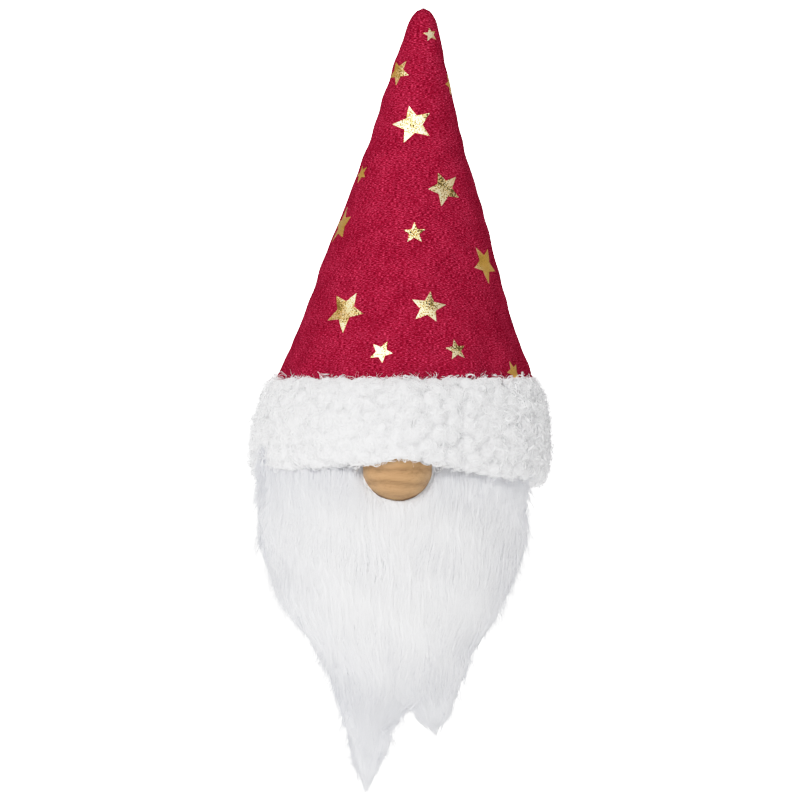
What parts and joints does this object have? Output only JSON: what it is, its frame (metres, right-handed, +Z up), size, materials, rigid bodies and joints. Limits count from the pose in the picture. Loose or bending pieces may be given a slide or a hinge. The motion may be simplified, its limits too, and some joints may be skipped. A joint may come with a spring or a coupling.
{
  "type": "bottle topper gnome",
  "caption": "Soft gnome head that slips over a bottle neck: leaning cone hat with gold stars, curly plush brim, wooden bead nose and long beard in two points.",
  "frame": {"origin": "centre of the underside of the felt disc inside the hat, where a bottle's mouth bears", "axes": "+Z up towards the tip of the hat; the face looks along -Y; +X is the gnome's left, to the right in a front view"},
  "size_m": [0.11, 0.1161, 0.2794],
  "materials": {
    "crimson_cotton": "matt heathered plain weave printed with gold foil stars",
    "white_fleece": "matt brushed fleece",
    "red_felt": "matt felt",
    "fibrefill": "matt polyester fibrefill",
    "red_thread": "satin sewing thread",
    "white_elastic": "matt woven elastic and tape",
    "knitted_backing": "matt knitted pile backing",
    "white_plush": "curly boucle plush",
    "white_thread": "satin sewing thread",
    "white_fur": "long straight faux fur, soft sheen",
    "beech": "sanded beech with a thin satin lacquer"
  },
  "bodies": {
    "hat": {"hat_cone_lower": "crimson_cotton", "hat_lining": "white_fleece", "stuffing_disc": "red_felt", "hat_stuffing_lower": "fibrefill", "back_seam_thread_lower": "red_thread", "elastic_band": "white_elastic", "brim_backing": "knitted_backing", "brim_pile": "white_plush", "brim_seam_thread": "white_thread", "nose_thread": "white_thread", "beard_yoke_backing": "knitted_backing", "beard_yoke_pile": "white_fur", "beard_seam_tape": "white_elastic"},
    "hat_middle": {"hat_cone_middle": "crimson_cotton", "hat_stuffing_middle": "fibrefill", "back_seam_thread_middle": "red_thread"},
    "hat_tip": {"hat_cone_tip": "crimson_cotton", "hat_stuffing_tip": "fibrefill", "back_seam_thread_tip": "red_thread"},
    "nose": {"nose_bead": "beech"},
    "beard": {"beard_backing": "knitted_backing", "beard_pile": "white_fur"},
    "beard_tail_left": {"beard_tail_left": "white_fur"},
    "beard_tail_right": {"beard_tail_right": "white_fur"}
  },
  "joints": [
    {"name": "hat_nod", "type": "hinge", "parent": "hat", "child": "hat_middle", "pos_m": [0.0017, 0, 0.032], "axis": [1, 0, 0], "range_deg": [-30, 30], "stiffness_Nm_per_rad": 0.05},
    {"name": "hat_tip_flop", "type": "hinge", "parent": "hat_middle", "child": "hat_tip", "pos_m": [0.00339, 0, 0.064], "axis": [0, 1, 0], "range_deg": [-40, 40], "stiffness_Nm_per_rad": 0.03},
    {"name": "nose_roll", "type": "hinge", "parent": "hat", "child": "nose", "pos_m": [-0.0036, -0.046, -0.0562], "axis": [1, 0, 0], "continuous": true},
    {"name": "beard_swing", "type": "hinge", "parent": "hat", "child": "beard", "pos_m": [0, -0.038, -0.071], "axis": [-1, 0, 0], "range_deg": [-20, 45], "stiffness_Nm_per_rad": 0.005},
    {"name": "tail_left_swing", "type": "hinge", "parent": "beard", "child": "beard_tail_left", "pos_m": [-0.015, -0.041, -0.122], "axis": [-1, 0, 0], "range_deg": [-30, 40], "stiffness_Nm_per_rad": 0.002},
    {"name": "tail_right_swing", "type": "hinge", "parent": "beard", "child": "beard_tail_right", "pos_m": [0.012, -0.041, -0.122], "axis": [-1, 0, 0], "range_deg": [-30, 40], "stiffness_Nm_per_rad": 0.002}
  ]
}
